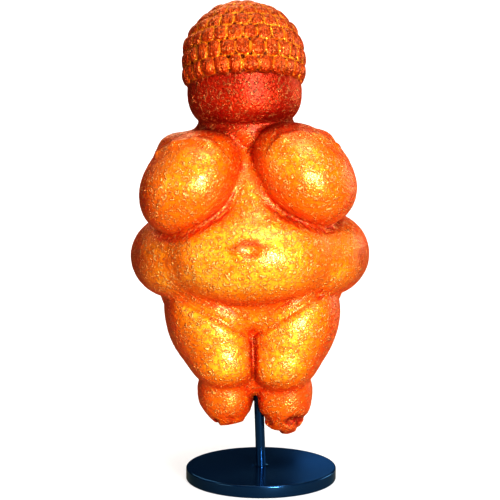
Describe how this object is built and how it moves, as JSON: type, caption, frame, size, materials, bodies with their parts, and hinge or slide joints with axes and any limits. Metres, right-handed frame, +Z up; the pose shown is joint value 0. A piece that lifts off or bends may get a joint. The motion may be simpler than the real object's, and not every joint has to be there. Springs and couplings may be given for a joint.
{
  "type": "venus figurine",
  "caption": "Small cast venus figurine of a broad, heavy standing woman with a knotted cap, held up by a thin leaning rod in a round disc base.",
  "frame": {"origin": "middle of the disc's underside, on the surface that the object stands on", "axes": "+Z up, +Y towards the figure's back, so that the figure faces -Y, +X to the viewer's right"},
  "size_m": [0.0626, 0.0469, 0.1249],
  "materials": {
    "cast_resin": "tinted cast resin, ochre on the high places and deep red in the hollows, with a thin satin varnish",
    "stand_paint": "gloss black paint with a blue cast"
  },
  "bodies": {
    "root": {"figurine": "cast_resin", "stand_rod": "stand_paint", "stand_base": "stand_paint"}
  },
  "joints": []
}
